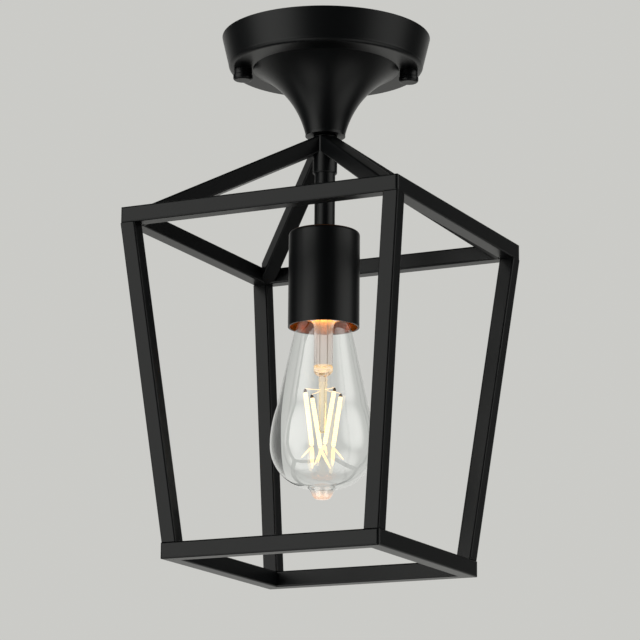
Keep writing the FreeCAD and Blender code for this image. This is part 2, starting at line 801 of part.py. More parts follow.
def contact_strips():
    """Spring contact over the lamp's tip: a fixed foot under its terminal, and the tongue that gives."""
    thick, top = size.contact_thickness, partition_bottom_z
    foot = new_body("contact_foot")
    plate = new_sketch(foot, "XY_Plane", top - thick)
    foot_start = size.contact_pivot_x + size.contact_split
    outline(plate, [
        (foot_start, -(size.contact_width / 2)), (contact_foot_end, -(size.contact_width / 2)),
        (contact_foot_end, size.contact_width / 2), (foot_start, size.contact_width / 2),
    ])
    ring(plate, line_terminal_x, 0, size.terminal_r + size.thread_gap)
    pad(foot, plate, thick)
    tongue = new_body("contact_tongue")
    side = new_sketch(tongue, "XZ_Plane")
    level = top - size.contact_split
    drop = size.contact_drop - size.contact_split
    tip_x = -size.contact_tip_back
    bend_x = tip_x * CONTACT_BEND
    outline(side, [
        (size.contact_pivot_x, level), (bend_x, level - drop), (tip_x, level - drop),
        (tip_x, level - drop - thick), (bend_x, level - drop - thick),
        (size.contact_pivot_x, level - thick),
    ])
    pad(tongue, side, size.contact_width, both_ways=True)


def ridge(root_r, crest_r, low_z, turns):
    """One helical thread ridge on a cylinder, its foot sunk a little into the wall it stands on."""
    sunk_r = root_r - (crest_r - root_r) * RIDGE_SUNK
    half_foot, half_crest = SIZES["ridge_foot"] / 2, SIZES["ridge_crest"] / 2
    section = Part.makePolygon([
        Vector(sunk_r, 0, low_z - half_foot), Vector(crest_r, 0, low_z - half_crest),
        Vector(crest_r, 0, low_z + half_crest), Vector(sunk_r, 0, low_z + half_foot),
        Vector(sunk_r, 0, low_z - half_foot),
    ])
    path = Part.makeHelix(SIZES["thread_pitch"], SIZES["thread_pitch"] * turns, root_r)
    path.translate(Vector(0, 0, low_z))
    return Part.Wire(path.Edges).makePipeShell([section], True, True)


def turned_solid(points):
    """A solid of revolution about Z from plain radii and heights."""
    corners = [Vector(plain(r), 0, plain(z)) for r, z in points]
    face = Part.Face(Part.makePolygon(corners + corners[:1]))
    return face.revolve(Vector(0, 0, 0), Vector(0, 0, 1), 360)


def threaded_piece(name, points, thread):
    """A turned metal shell with a rolled screw thread."""
    piece = doc.addObject("Part::Feature", name)
    piece.Label = name
    piece.Shape = turned_solid(points).fuse(thread).removeSplitter()
    return keep(piece)


def screw_shells():
    """The holder's screw shell and the lamp's base shell, threads half a pitch apart."""
    pitch = size.thread_pitch
    shell_r = shell_root_r + size.shell_wall
    shell_start = plain(holder_bottom_z + size.ridge_foot)
    hole_x = plain(shell_terminal_x)
    shell = threaded_piece("screw_shell", [
        (shell_root_r, holder_bottom_z), (shell_r, holder_bottom_z), (shell_r, partition_bottom_z),
        (shell_lip_r, partition_bottom_z), (shell_lip_r, partition_bottom_z - size.shell_wall),
        (shell_root_r, partition_bottom_z - size.shell_wall),
    ], ridge(plain(shell_root_r), plain(shell_crest_r), shell_start, SIZES["holder_ridge_turns"]))
    drill = Part.makeCylinder(SIZES["terminal_r"] + SIZES["thread_gap"], SIZES["shell_wall"] * 4,
                              Vector(hole_x, 0, plain(partition_bottom_z) - SIZES["shell_wall"] * 2))
    shell.Shape = shell.Shape.cut(drill)
    lamp_bottom = plain(lamp_base_z + size.lamp_collar_height + size.ridge_foot)
    steps = math.ceil((lamp_bottom - shell_start) / plain(pitch) - 0.5)
    lamp_start = shell_start + (steps + 0.5) * plain(pitch)
    inner_r = lamp_core_r - size.lamp_shell_wall
    collar_top = lamp_base_z + size.lamp_collar_height
    threaded_piece("lamp_base_shell", [
        (inner_r, lamp_base_z), (lamp_collar_r, lamp_base_z),
        (lamp_collar_r, collar_top - size.lamp_collar_slope),
        (lamp_core_r, collar_top), (lamp_core_r, lamp_shell_top_z), (inner_r, lamp_shell_top_z),
    ], ridge(plain(lamp_core_r), SIZES["lamp_crest_r"], lamp_start, SIZES["lamp_ridge_turns"]))


# ---- lamp ----------------------------------------------------------------------------------------

def lamp_base():
    """Glass insulator on the base's end, with the solder tip in its middle."""
    tip_low = lamp_tip_z - size.lamp_tip_height
    turned_piece("lamp_tip_contact", [
        (0, tip_low), (size.lamp_tip_r, tip_low), (size.lamp_tip_r, insulator_top_z),
        (size.lamp_tip_flat_r, lamp_tip_z), (0, lamp_tip_z),
    ])
    inner_r = lamp_core_r - size.lamp_shell_wall - size.weld_gap
    seat_r = size.lamp_tip_r + size.fit_gap
    turned_piece("lamp_base_insulator", [
        (0, insulator_foot_z), (inner_r, insulator_foot_z), (inner_r, lamp_shell_top_z),
        (seat_r + size.lamp_tip_height, insulator_top_z), (seat_r, insulator_top_z),
        (seat_r, tip_low - size.fit_gap), (0, tip_low - size.fit_gap),
    ])


def glass_steps(inset):
    """Half outline of the bulb, drawn in by inset, from the neck inside the base down to its tip."""
    widest_z = lamp_base_z - size.glass_widest_drop
    throat_z = lamp_base_z - size.glass_throat_drop
    shoulder_z = widest_z + size.glass_shoulder
    big_r = size.glass_r - inset
    shoulder_r = big_r - size.glass_shoulder_step
    shoulder_bend = shoulder_step_radius(size.glass_shoulder_step, size.glass_shoulder)
    nub_root_r = size.nub_r - inset
    nub_z = widest_z - root(big_r * big_r - nub_root_r * nub_root_r)
    tip_z = nub_z - size.nub_drop
    return {
        "neck": (glass_neck_r - inset, lamp_base_z), "throat": (size.glass_throat_r - inset, throat_z),
        "shoulder": (shoulder_r, shoulder_z), "shoulder_bend": shoulder_bend, "widest": (big_r, widest_z),
        "dome": big_r, "nub": (nub_root_r, nub_z), "tip": (size.nub_tip_r - inset, tip_z), "end_z": tip_z,
    }


def shoulder_step_radius(step, rise):
    """Radius of the arc that leaves the vertical and gains a step over a rise."""
    return (step * step + rise * rise) / (step * 2)


def lamp_glass():
    """Clear bulb: neck in the base, straight flare, round shoulder, half-sphere end and a sealed nub."""
    out = glass_steps(size.glass_wall * 0)
    inn = glass_steps(size.glass_wall)
    top_z = lamp_base_z + size.glass_neck_inside
    floor_z = inn["end_z"] + size.glass_wall
    turned_piece("lamp_glass", [
        (inn["neck"][0], top_z), inn["neck"], inn["throat"], inn["shoulder"], Bend(-inn["shoulder_bend"]),
        inn["widest"], Bend(-inn["dome"]), inn["nub"], (inn["tip"][0], floor_z), (0, floor_z),
        (0, out["end_z"]), out["tip"], out["nub"], Bend(out["dome"]), out["widest"],
        Bend(out["shoulder_bend"]), out["shoulder"], out["throat"], out["neck"], (out["neck"][0], top_z),
    ])


def lamp_mount():
    """Inner glass stem: a flare sealed to the neck, a tube, and the flat press that carries the wires."""
    top_z = lamp_base_z + size.glass_neck_inside
    tube_top = top_z - size.stem_flare_drop
    tube_end = lamp_base_z - size.stem_glass_drop
    wall = size.stem_glass_wall
    flare_r = glass_neck_r - size.glass_wall - size.weld_gap
    press_z = tube_end - size.press_height
    rod_end = press_z - size.centre_rod_length
    turned_piece("lamp_stem_glass", [
        (0, rod_end), (size.centre_rod_r, rod_end), (size.centre_rod_r, press_z), (size.press_r, press_z),
        (size.press_r, tube_end - size.press_step), (size.stem_glass_r, tube_end),
        (size.stem_glass_r, tube_top), (flare_r, top_z), (flare_r - wall, top_z),
        (size.stem_glass_r - wall, tube_top), (size.stem_glass_r - wall, tube_end), (0, tube_end),
    ])
    return plain(press_z)


def rod(start, end, radius):
    """A straight round wire."""
    return Part.makeCylinder(radius, (end - start).Length, start, end - start)


def level_point(radius, degrees, height):
    """A point by its distance and turn from the axis, and its height."""
    angle = math.radians(degrees)
    return Vector(radius * math.cos(angle), radius * math.sin(angle), height)


def sticks_and_wires(press_z):
    """Four light-giving sticks that lean and twist together downwards, hung on wires, with forked feet."""
    top_z = plain(lamp_base_z) - SIZES["stick_top_drop"]
    low_z = top_z - SIZES["stick_drop"]
    wire_r, foot_r, gap = SIZES["wire_r"], SIZES["foot_r"], SIZES["weld_gap"]
    sticks, supports = [], []
    for quarter in range(4):
        top_turn = SIZES["stick_turn"] + QUARTER_TURN * quarter
        low_turn = top_turn - SIZES["stick_twist"]
        top = level_point(SIZES["stick_spread"], top_turn, top_z)
        low = level_point(SIZES["stick_gather"], low_turn, low_z)
        run = (low - top).normalize()
        sticks.append(rod(top, low, SIZES["stick_r"]))
        press = level_point(SIZES["support_root_r"], top_turn, press_z - gap - wire_r)
        supports.append(rod(press, top - run * (wire_r + gap), wire_r))
        ankle = low + run * (foot_r + gap)
        long_toe = level_point(SIZES["long_foot_spread"], low_turn - SIZES["long_foot_turn"],
                               low_z - SIZES["long_foot_drop"])
        short_toe = level_point(SIZES["short_foot_spread"], low_turn, low_z - SIZES["short_foot_drop"])
        supports.append(rod(ankle, long_toe, foot_r).fuse(rod(ankle, short_toe, foot_r)))
    compound_of("filament_sticks", sticks)
    compound_of("filament_supports", supports)
    leads = []
    for side in (-1, 1):
        x = side * SIZES["lead_wire_x"]
        low = Vector(x, 0, plain(lamp_base_z - size.stem_glass_drop) + gap)
        leads.append(rod(low, Vector(x, 0, plain(insulator_foot_z) - gap), wire_r))
    compound_of("lamp_lead_wires", leads)


# ---- leads inside stem and canopy ----------------------------------------------------------------

def lead_solid(points, bends, radius):
    """Round lead along straight runs, with a tangent arc of its own radius at each corner."""
    edges, start = [], points[0]
    length = 0.0
    for corner, after, bend_r in zip(points[1:-1], points[2:], bends):
        inward, outward = (corner - start).normalize(), (after - corner).normalize()
        turn = inward.getAngle(outward)
        setback = bend_r * math.tan(turn / 2)
        first, last = corner - inward * setback, corner + outward * setback
        middle_way = (outward - inward).normalize()
        middle = corner + middle_way * (bend_r / math.cos(turn / 2) - bend_r)
        edges.append(Part.LineSegment(start, first).toShape())
        edges.append(Part.Arc(first, middle, last).toShape())
        length += (first - start).Length + bend_r * turn
        start = last
    edges.append(Part.LineSegment(start, points[-1]).toShape())
    length += (points[-1] - start).Length
    path = Part.Wire(edges)
    heading = (points[1] - points[0]).normalize()
    section = Part.Wire([Part.makeCircle(radius, points[0], heading)])
    tube = path.makePipeShell([section], True, False)
    print("lead: bend radii %s, length %.1f, volume %.1f of %.1f"
          % (bends, length, tube.Volume, math.pi * radius * radius * length))
    return tube


def lead_piece(name, points, bends):
    """One insulated lead as a node of its own."""
    piece = doc.addObject("Part::Feature", name)
    piece.Label = name
    piece.Shape = lead_solid(points, bends, SIZES["lead_r"])
    keep(piece)


def leads_and_connectors():
    """Line and neutral leads from the terminals up the stem, the earth lead, and their connectors."""
    level = -SIZES["lead_level"]
    head_z = plain(partition_top_z + size.terminal_head_height)
    connectors = []
    entry = SIZES["connector_start"] + SIZES["lead_in_connector"]
    for name, angle, terminal_x in (
        ("line_lead", 0.0, plain(line_terminal_x)),
        ("neutral_lead", HALF_TURN, plain(shell_terminal_x)),
    ):
        bore_x = math.copysign(SIZES["lead_ring_r"], terminal_x)
        turned = math.radians(angle + SIZES["canopy_turn"] + SIZES["connector_turn"])
        outwards = Vector(math.cos(turned), math.sin(turned), 0)
        rise_z = head_z + SIZES["lead_rise"]
        tight, wide = SIZES["lead_terminal_bend_r"], SIZES["lead_bend_r"]
        lead_piece(name, [
            Vector(terminal_x, 0, head_z + SIZES["weld_gap"]), Vector(terminal_x, 0, rise_z),
            Vector(bore_x, 0, rise_z + SIZES["lead_climb"]), Vector(bore_x, 0, level),
            Vector(bore_x, 0, level) + outwards * entry,
        ], [tight, tight, wide])
        connectors.append((outwards, Vector(bore_x, 0, level)))
    earth_turn = math.radians(SIZES["canopy_turn"])
    strap_way = Vector(math.cos(earth_turn), math.sin(earth_turn), 0)
    shapes = []
    for outwards, origin in connectors:
        start = origin + outwards * SIZES["connector_start"]
        cap = Part.makeCone(SIZES["connector_r"], SIZES["connector_tip_r"], SIZES["connector_length"],
                            start, outwards)
        bore_r = SIZES["lead_r"] + SIZES["thread_gap"]
        bore = Part.makeCylinder(bore_r, SIZES["connector_bore"], start, outwards)
        shapes.append(cap.cut(bore))
    compound_of("wire_connectors", shapes)
    washer_top = plain(canopy_floor_z + size.canopy_wall + size.nipple_washer_thickness)
    screw_under = -SIZES["strap_thickness"] - SIZES["earth_washer_thickness"] - SIZES["earth_head_height"]
    lead_r = SIZES["lead_r"]
    low = washer_top + lead_r + SIZES["weld_gap"]
    near = SIZES["nipple_nut_flats"] / math.sqrt(3) + lead_r
    far = SIZES["earth_screw_place"]
    lead_piece("earth_lead", [
        strap_way * near + Vector(0, 0, low), strap_way * far + Vector(0, 0, low),
        strap_way * far + Vector(0, 0, screw_under - SIZES["weld_gap"]),
    ], [SIZES["lead_bend_r"]])


def check_and_write():
    """Stops on any failed object, then writes one file for each piece."""
    doc.recompute()
    for item in doc.Objects:
        if {"Invalid", "Error"} & set(item.State):
            raise SystemExit("%s did not recompute: %s" % (item.Name, item.State))
    os.makedirs("parts", exist_ok=True)
    for piece in finished:
        if piece.Shape.isNull() or not piece.Shape.isValid():
            raise SystemExit("%s has no valid shape" % piece.Label)
        piece.Shape.exportStep("parts/%s.step" % piece.Label)
    print("%d pieces, %.0f mm3" % (len(finished), sum(piece.Shape.Volume for piece in finished)))


ceiling_strap()
strap_fasteners()
canopy_cup()
canopy_trumpet()
canopy_clamp()
cap_nuts()
hub_and_stem()
ring_rails("top", size.top_ring_side, top_ring_z)
ring_rails("bottom", size.bottom_ring_side, bottom_ring_z + size.bar_height)
for quarter, corner in enumerate(("front_right", "back_right", "back_left", "front_left")):
    corner_leg("leg_" + corner, quarter)
    roof_bar("roof_bar_" + corner, QUARTER_TURN * (quarter - 0.5))
socket_cup()
lamp_holder()
terminals()
contact_strips()
screw_shells()
lamp_base()
lamp_glass()
sticks_and_wires(lamp_mount())
leads_and_connectors()
check_and_write()
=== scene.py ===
"""Looks of the ceiling lantern: a black powder-coated cage lantern with one lit, clear filament-style lamp."""
import json
import math

import bpy
from mathutils import Matrix, Vector

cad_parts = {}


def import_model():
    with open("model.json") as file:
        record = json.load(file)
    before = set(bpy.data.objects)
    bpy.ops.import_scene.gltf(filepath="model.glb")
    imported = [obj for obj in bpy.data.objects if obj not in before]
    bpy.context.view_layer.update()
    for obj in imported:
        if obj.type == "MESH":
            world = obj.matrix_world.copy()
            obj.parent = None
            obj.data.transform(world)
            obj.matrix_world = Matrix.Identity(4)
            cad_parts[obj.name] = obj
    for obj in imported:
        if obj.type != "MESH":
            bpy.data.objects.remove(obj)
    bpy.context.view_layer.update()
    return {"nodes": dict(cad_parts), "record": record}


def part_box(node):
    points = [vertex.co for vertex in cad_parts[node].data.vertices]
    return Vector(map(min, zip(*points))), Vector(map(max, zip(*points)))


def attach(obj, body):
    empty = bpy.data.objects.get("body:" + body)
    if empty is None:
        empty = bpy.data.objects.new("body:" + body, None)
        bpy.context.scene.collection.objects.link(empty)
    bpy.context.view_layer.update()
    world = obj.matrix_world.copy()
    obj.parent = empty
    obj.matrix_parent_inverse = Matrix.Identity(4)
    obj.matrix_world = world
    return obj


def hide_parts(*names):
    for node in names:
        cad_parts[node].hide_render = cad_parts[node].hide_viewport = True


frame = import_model()
cad = frame["nodes"]

MM = 0.001
ROUND = 96  # sides of a large turned piece
SMOOTH_ANGLE = math.radians(35)
MERGE_M = 1e-6  # vertices nearer than this, in metres, are made one
ON_RING_MM = 1e-3  # a vertex as near as this to a ring's radius or height belongs to it

# Heights and radii that looks and shapes share, in millimetres.
glass_low, glass_high = (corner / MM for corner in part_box("lamp_glass"))
CUP_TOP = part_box("socket_cup")[1].z / MM
CUP_INSIDE_R = 21.2
CUP_TOP_SKIN = 0.5
BASE_Z = glass_high.z - 14.0  # where the bulb's neck leaves the lamp's base
WIDEST_Z = BASE_Z - 82.0
GLASS_R = 32.0
# where the painted amber glow at the bulb's tip starts, and over how many millimetres it fades
TIP_GLOW_TOP = glass_low.z + 5.5
TIP_GLOW_FADE = 3.5
CHIP_PITCH = 1.25


# ---- materials ---------------------------------------------------------------------------------------------

def colour(code, alpha=1.0):
    """An sRGB hex colour as the linear numbers a shader takes."""
    channels = [int(code[place:place + 2], 16) / 255 for place in (1, 3, 5)]
    return tuple(c / 12.92 if c <= 0.04045 else ((c + 0.055) / 1.055) ** 2.4 for c in channels) + (alpha,)


def add(tree, kind, inputs=(), **settings):
    """Adds a node to a tree; each input is a plain value or the output that feeds it."""
    node = tree.nodes.new(kind)
    for name, value in settings.items():
        setattr(node, name, value)
    for key, value in dict(inputs).items():
        if isinstance(value, bpy.types.NodeSocket):
            tree.links.new(value, node.inputs[key])
        else:
            node.inputs[key].default_value = value
    return node


def new_finish(name):
    """An empty material with its place on the piece, in millimetres."""
    material = bpy.data.materials.new(name)
    material.use_nodes = True
    tree = material.node_tree
    tree.nodes.clear()
    place = add(tree, "ShaderNodeTexCoord").outputs["Object"]
    scaled = add(tree, "ShaderNodeVectorMath", {0: place, 1: (1000, 1000, 1000)}, operation="MULTIPLY")
    return material, tree, scaled.outputs["Vector"]


def speckle(tree, place, grain, detail=2.0, roughness=0.5):
    """Noise whose grains are about so many millimetres across, from 0 to 1."""
    noise = add(tree, "ShaderNodeTexNoise",
                {"Vector": place, "Scale": 1.0 / grain, "Detail": detail, "Roughness": roughness})
    return noise.outputs["Fac"]


def between(tree, share, low, high):
    """A number or a colour that goes from low to high with the share."""
    if isinstance(low, str):
        ramp = add(tree, "ShaderNodeMix", {"Factor": share, 6: colour(low), 7: colour(high)}, data_type="RGBA")
        return ramp.outputs[2]
    spread = add(tree, "ShaderNodeMapRange", {"Value": share, "To Min": low, "To Max": high})
    return spread.outputs["Result"]


def dented(tree, height, depth, strength=1.0):
    """A surface normal with a relief so many millimetres deep."""
    bump = add(tree, "ShaderNodeBump", {"Height": height, "Distance": depth * MM, "Strength": strength})
    return bump.outputs["Normal"]


def close(tree, shader):
    add(tree, "ShaderNodeOutputMaterial", {"Surface": shader})


COAT_DARK, COAT_LIGHT, COAT_GLOSS = "#08090a", "#0d0e0f", 0.1
COAT_CLOUD, COAT_PEEL = 18.0, 0.9  # how many millimetres its drifts of tone and its relief are across


def satin_coat(tree, place, base, more=()):
    """The shader of the lantern's coat: satin, with the faint orange peel of melted powder."""
    peel = speckle(tree, place, COAT_PEEL, 3.0)
    return add(tree, "ShaderNodeBsdfPrincipled", {
        "Base Color": base,
        "Roughness": between(tree, peel, 0.3, 0.38),
        "IOR": 1.5,
        "Specular IOR Level": COAT_GLOSS,
        "Normal": dented(tree, peel, 0.012, 0.5),
        **dict(more),
    })


def powder_coat():
    """Black polyester powder coat on steel."""
    material, tree, place = new_finish("black_powder_coat")
    cloud = speckle(tree, place, COAT_CLOUD)
    shader = satin_coat(tree, place, between(tree, cloud, COAT_DARK, COAT_LIGHT))
    close(tree, shader.outputs[0])
    return material


def cup_coat_and_painted_glow():
    """The same coat outside; inside the lamp holder's cup, painted light: a brown base colour and a weak amber
    emission stand in for the lamp's warm light on the black coat.
    """
    material, tree, place = new_finish("cup_coat_and_painted_glow")
    parts = add(tree, "ShaderNodeSeparateXYZ", {"Vector": place})
    flat = add(tree, "ShaderNodeCombineXYZ", {"X": parts.outputs["X"], "Y": parts.outputs["Y"]})
    radius = add(tree, "ShaderNodeVectorMath", {0: flat.outputs[0]}, operation="LENGTH").outputs["Value"]
    in_bore = add(tree, "ShaderNodeMath", {0: radius, 1: CUP_INSIDE_R}, operation="LESS_THAN").outputs[0]
    below_top = add(tree, "ShaderNodeMath", {0: parts.outputs["Z"], 1: CUP_TOP - CUP_TOP_SKIN},
                    operation="LESS_THAN").outputs[0]
    inside = add(tree, "ShaderNodeMath", {0: in_bore, 1: below_top}, operation="MULTIPLY").outputs[0]
    cloud = speckle(tree, place, COAT_CLOUD)
    outer = between(tree, cloud, COAT_DARK, COAT_LIGHT)
    # painted light: the brown inside the cup stands in for the lamp's warm light falling on the black coat
    painted_glow_brown = between(tree, cloud, "#3a2410", "#5a3512")
    base = add(tree, "ShaderNodeMix", {"Factor": inside, 6: outer, 7: painted_glow_brown}, data_type="RGBA").outputs[2]
    # painted glow: a weak amber emission inside the cup, though the coat gives no light of its own
    painted_glow_strength = 0.13
    shader = satin_coat(tree, place, base, {
        "Emission Color": colour("#7a4312"),
        "Emission Strength": add(tree, "ShaderNodeMath", {0: inside, 1: painted_glow_strength}, operation="MULTIPLY").outputs[0],
    })
    close(tree, shader.outputs[0])
    return material


def metal(name, dark, light, low_rough, high_rough, grain, depth=0.004):
    """Plated or drawn metal: its colour drifts a little, its surface is finely mottled."""
    material, tree, place = new_finish(name)
    mottle = speckle(tree, place, grain, 4.0, 0.6)
    drift = speckle(tree, place, grain * 12, 2.0)
    shader = add(tree, "ShaderNodeBsdfPrincipled", {
        "Base Color": between(tree, drift, dark, light),
        "Metallic": 1.0,
        "Roughness": between(tree, mottle, low_rough, high_rough),
        "Normal": dented(tree, mottle, depth, 0.6),
    })
    close(tree, shader.outputs[0])
    return material


def moulded(name, dark, light, low_rough, high_rough, grain, depth=0.01, ior=1.5):
    """Moulded or glazed material that isn't metal, with a fine relief."""
    material, tree, place = new_finish(name)
    mottle = speckle(tree, place, grain, 3.0)
    drift = speckle(tree, place, grain * 14, 2.0)
    shader = add(tree, "ShaderNodeBsdfPrincipled", {
        "Base Color": between(tree, drift, dark, light),
        "Roughness": between(tree, mottle, low_rough, high_rough),
        "IOR": ior,
        "Normal": dented(tree, mottle, depth, 0.5),
    })
    close(tree, shader.outputs[0])
    return material


def blown_glass():
    """Clear soda-lime glass, blown: faint long ripples, and painted light at the thick sealed tip: an amber emission
    stands in for the sticks' light piped through the glass.
    """
    material, tree, place = new_finish("clear_blown_glass")
    wave = speckle(tree, place, 9.0, 1.0)
    height = add(tree, "ShaderNodeSeparateXYZ", {"Vector": place}).outputs["Z"]
    # painted glow: amber emission near the bulb's tip, standing in for the sticks' light carried by the glass
    painted_tip_glow = add(tree, "ShaderNodeMapRange", {
        "Value": height, "From Min": TIP_GLOW_TOP, "From Max": TIP_GLOW_TOP - TIP_GLOW_FADE, "To Max": 0.16})
    shader = add(tree, "ShaderNodeBsdfPrincipled", {
        "Base Color": between(tree, wave, "#fbfdfc", "#ffffff"),
        "Roughness": 0.0,
        "IOR": 1.6,
        "Transmission Weight": 1.0,
        "Normal": dented(tree, wave, 0.05, 0.15),
        "Emission Color": colour("#d8862c"),
        "Emission Strength": painted_tip_glow.outputs["Result"],
    })
    close(tree, shader.outputs[0])
    return material


# Painted light on the stem glass, from its top down: heights and the emission colours that stand in for the sticks'
# light piped through it.
PAINTED_STEM_GLOW = ((-177.0, "#c8823a"), (-180.5, "#c47a32"), (-183.5, "#5a4434"), (-190.0, "#443a36"), (-208.0, "#3a3430"),
              (-212.0, "#8a6a36"), (-216.0, "#5a4426"), (-224.0, "#7a683a"), (-240.0, "#5a4e2c"), (-252.0, "#2a2418"))


def drawn_glass():
    """Drawn stem glass with fine lengthwise draw lines. Its emission is painted light: amber at flare and press,
    standing in for the sticks' light piped through the glass.
    """
    material, tree, place = new_finish("clear_drawn_glass")
    parts = add(tree, "ShaderNodeSeparateXYZ", {"Vector": place})
    turn = add(tree, "ShaderNodeMath", {0: parts.outputs["Y"], 1: parts.outputs["X"]}, operation="ARCTAN2")
    lines = add(tree, "ShaderNodeTexNoise", {
        "Vector": add(tree, "ShaderNodeCombineXYZ", {"X": turn.outputs[0]}).outputs[0], "Scale": 7.0, "Detail": 2.0})
    (top, top_code), *middle, (low, low_code) = PAINTED_STEM_GLOW
    # painted glow: the glass's emission by height stands in for the sticks' light, though glass gives none
    drop = add(tree, "ShaderNodeMapRange", {"Value": parts.outputs["Z"], "From Min": top, "From Max": low})
    painted_glow = add(tree, "ShaderNodeValToRGB", {"Fac": drop.outputs["Result"]})
    stops = painted_glow.color_ramp.elements
    stops[0].position, stops[0].color = 0.0, colour(top_code)
    stops[1].position, stops[1].color = 1.0, colour(low_code)
    for height, code in middle:
        stops.new((top - height) / (top - low)).color = colour(code)
    shader = add(tree, "ShaderNodeBsdfPrincipled", {
        "Base Color": between(tree, lines.outputs["Fac"], "#f6f0ec", "#ffffff"),
        "Roughness": 0.02,
        "IOR": 1.52,
        "Transmission Weight": 0.96,
        "Normal": dented(tree, lines.outputs["Fac"], 0.16, 0.5),
        "Emission Color": painted_glow.outputs["Color"],
        "Emission Strength": 1.0,
    })
    close(tree, shader.outputs[0])
    return material


def lit_phosphor():
    """Yellow silicone phosphor over a row of small chips, lit: nearly white where the chips sit."""
    material, tree, place = new_finish("lit_filament_phosphor")
    parts = add(tree, "ShaderNodeSeparateXYZ", {"Vector": place})
    step = add(tree, "ShaderNodeMath", {0: parts.outputs["Z"], 1: 2 * math.pi / CHIP_PITCH}, operation="MULTIPLY")
    wave = add(tree, "ShaderNodeMath", {0: step.outputs[0]}, operation="SINE")
    share = add(tree, "ShaderNodeMapRange", {"Value": wave.outputs[0], "From Min": -1.0}).outputs["Result"]
    shader = add(tree, "ShaderNodeBsdfPrincipled", {
        "Base Color": colour("#f0c25a"),
        "Roughness": 0.45,
        "Emission Color": between(tree, share, "#ffe0a0", "#ffecc2"),
        "Emission Strength": 1.9,
    })
    close(tree, shader.outputs[0])
    return material


def wire_with_painted_glow():
    """Nickel wire and flat feet with painted light: an amber base colour and a warm emission stand in for the light
    of the sticks beside them.
    """
    material, tree, place = new_finish("wire_with_painted_warm_glow")
    mottle = speckle(tree, place, 0.5, 3.0)
    shader = add(tree, "ShaderNodeBsdfPrincipled", {
        # painted light: the amber base colour stands in for the sticks' warm light on grey nickel
        "Base Color": between(tree, mottle, "#c98a3c", "#e8c27a"),
        "Metallic": 1.0,
        "Roughness": 0.3,
        # painted glow: the wire's emission stands in for the sticks' light on it, though the wire gives none
        "Emission Color": between(tree, mottle, "#ffd494", "#ffeecb"),
        "Emission Strength": 1.45,
    })
    close(tree, shader.outputs[0])
    return material


powder = powder_coat()
clear = blown_glass()
stem_clear = drawn_glass()
phosphor = lit_phosphor()
painted_glow_metal = wire_with_painted_glow()
lug_metal = metal("oxidised_molybdenum", "#4a3a2c", "#6b5238", 0.3, 0.45, 0.4)
zinc = metal("zinc_plated_steel", "#a8acb0", "#c4c8cb", 0.3, 0.45, 0.8)
green_zinc = metal("green_passivated_steel", "#3f6a45", "#5a8a5c", 0.32, 0.46, 0.8)
brass = metal("drawn_brass", "#b08a45", "#caa35a", 0.24, 0.38, 0.6)
nickel = metal("nickel_plated_brass", "#b3aea3", "#cbc6bb", 0.2, 0.32, 0.6)
tin = metal("soft_solder", "#8f9092", "#a9aaab", 0.36, 0.55, 0.7, 0.01)
bare = metal("bare_nickel_wire", "#b9b4aa", "#d0ccc2", 0.24, 0.36, 0.3)
porcelain = moulded("glazed_porcelain", "#e9e2d2", "#f4efe4", 0.1, 0.2, 2.0, 0.02)
black_glass = moulded("black_base_glass", "#0a0a0d", "#141418", 0.08, 0.16, 1.0, 0.01, 1.52)
black_pvc = moulded("black_wire_insulation", "#111111", "#1c1c1c", 0.38, 0.5, 0.4)
white_pvc = moulded("white_wire_insulation", "#e4e2dc", "#efeee9", 0.36, 0.48, 0.4)
green_pvc = moulded("green_wire_insulation", "#1f6b33", "#2b7f40", 0.38, 0.5, 0.4)
nylon = moulded("grey_nylon", "#7c7f82", "#8e9194", 0.4, 0.55, 0.7)

SLOT_FINISH = {
    "black_powder_coat": powder, "zinc_plated_steel": zinc, "green_plated_steel": green_zinc,
    "glazed_ceramic": porcelain, "brass": brass, "nickel_plated_brass": nickel, "black_glass": black_glass,
    "solder": tin, "clear_glass": clear, "filament_phosphor": phosphor, "bare_wire": bare,
    "black_insulation": black_pvc, "white_insulation": white_pvc, "green_insulation": green_pvc,
    "grey_nylon": nylon,
}


def paint(piece, material):
    piece.data.materials.clear()
    piece.data.materials.append(material)


slot_of = {row["node"]: row["material_slot"] for row in frame["record"]["subparts"]}
for name, piece in cad.items():
    paint(piece, SLOT_FINISH[slot_of[name]])
paint(cad["socket_cup"], cup_coat_and_painted_glow())


# ---- modelling ---------------------------------------------------------------------------------------------

def clear_selection():
    if bpy.context.object and bpy.context.object.mode != "OBJECT":
        bpy.ops.object.mode_set(mode="OBJECT")
    bpy.ops.object.select_all(action="DESELECT")


def select_only(piece):
    clear_selection()
    bpy.context.view_layer.objects.active = piece
    piece.select_set(True)


def apply_all(piece):
    """Applies the piece's modifiers, then brings its object to the origin with its place in its mesh."""
    select_only(piece)
    for modifier in list(piece.modifiers):
        bpy.ops.object.modifier_apply(modifier=modifier.name)
    bpy.ops.object.transform_apply(location=True, rotation=True, scale=True)


def select_where(piece, wanted):
    """In edit mode, selects only the vertices that a test picks by their place in millimetres."""
    bpy.ops.mesh.select_all(action="DESELECT")
    bpy.ops.object.mode_set(mode="OBJECT")
    for vertex in piece.data.vertices:
        vertex.select = bool(wanted((piece.matrix_world @ vertex.co) / MM))
    bpy.ops.object.mode_set(mode="EDIT")


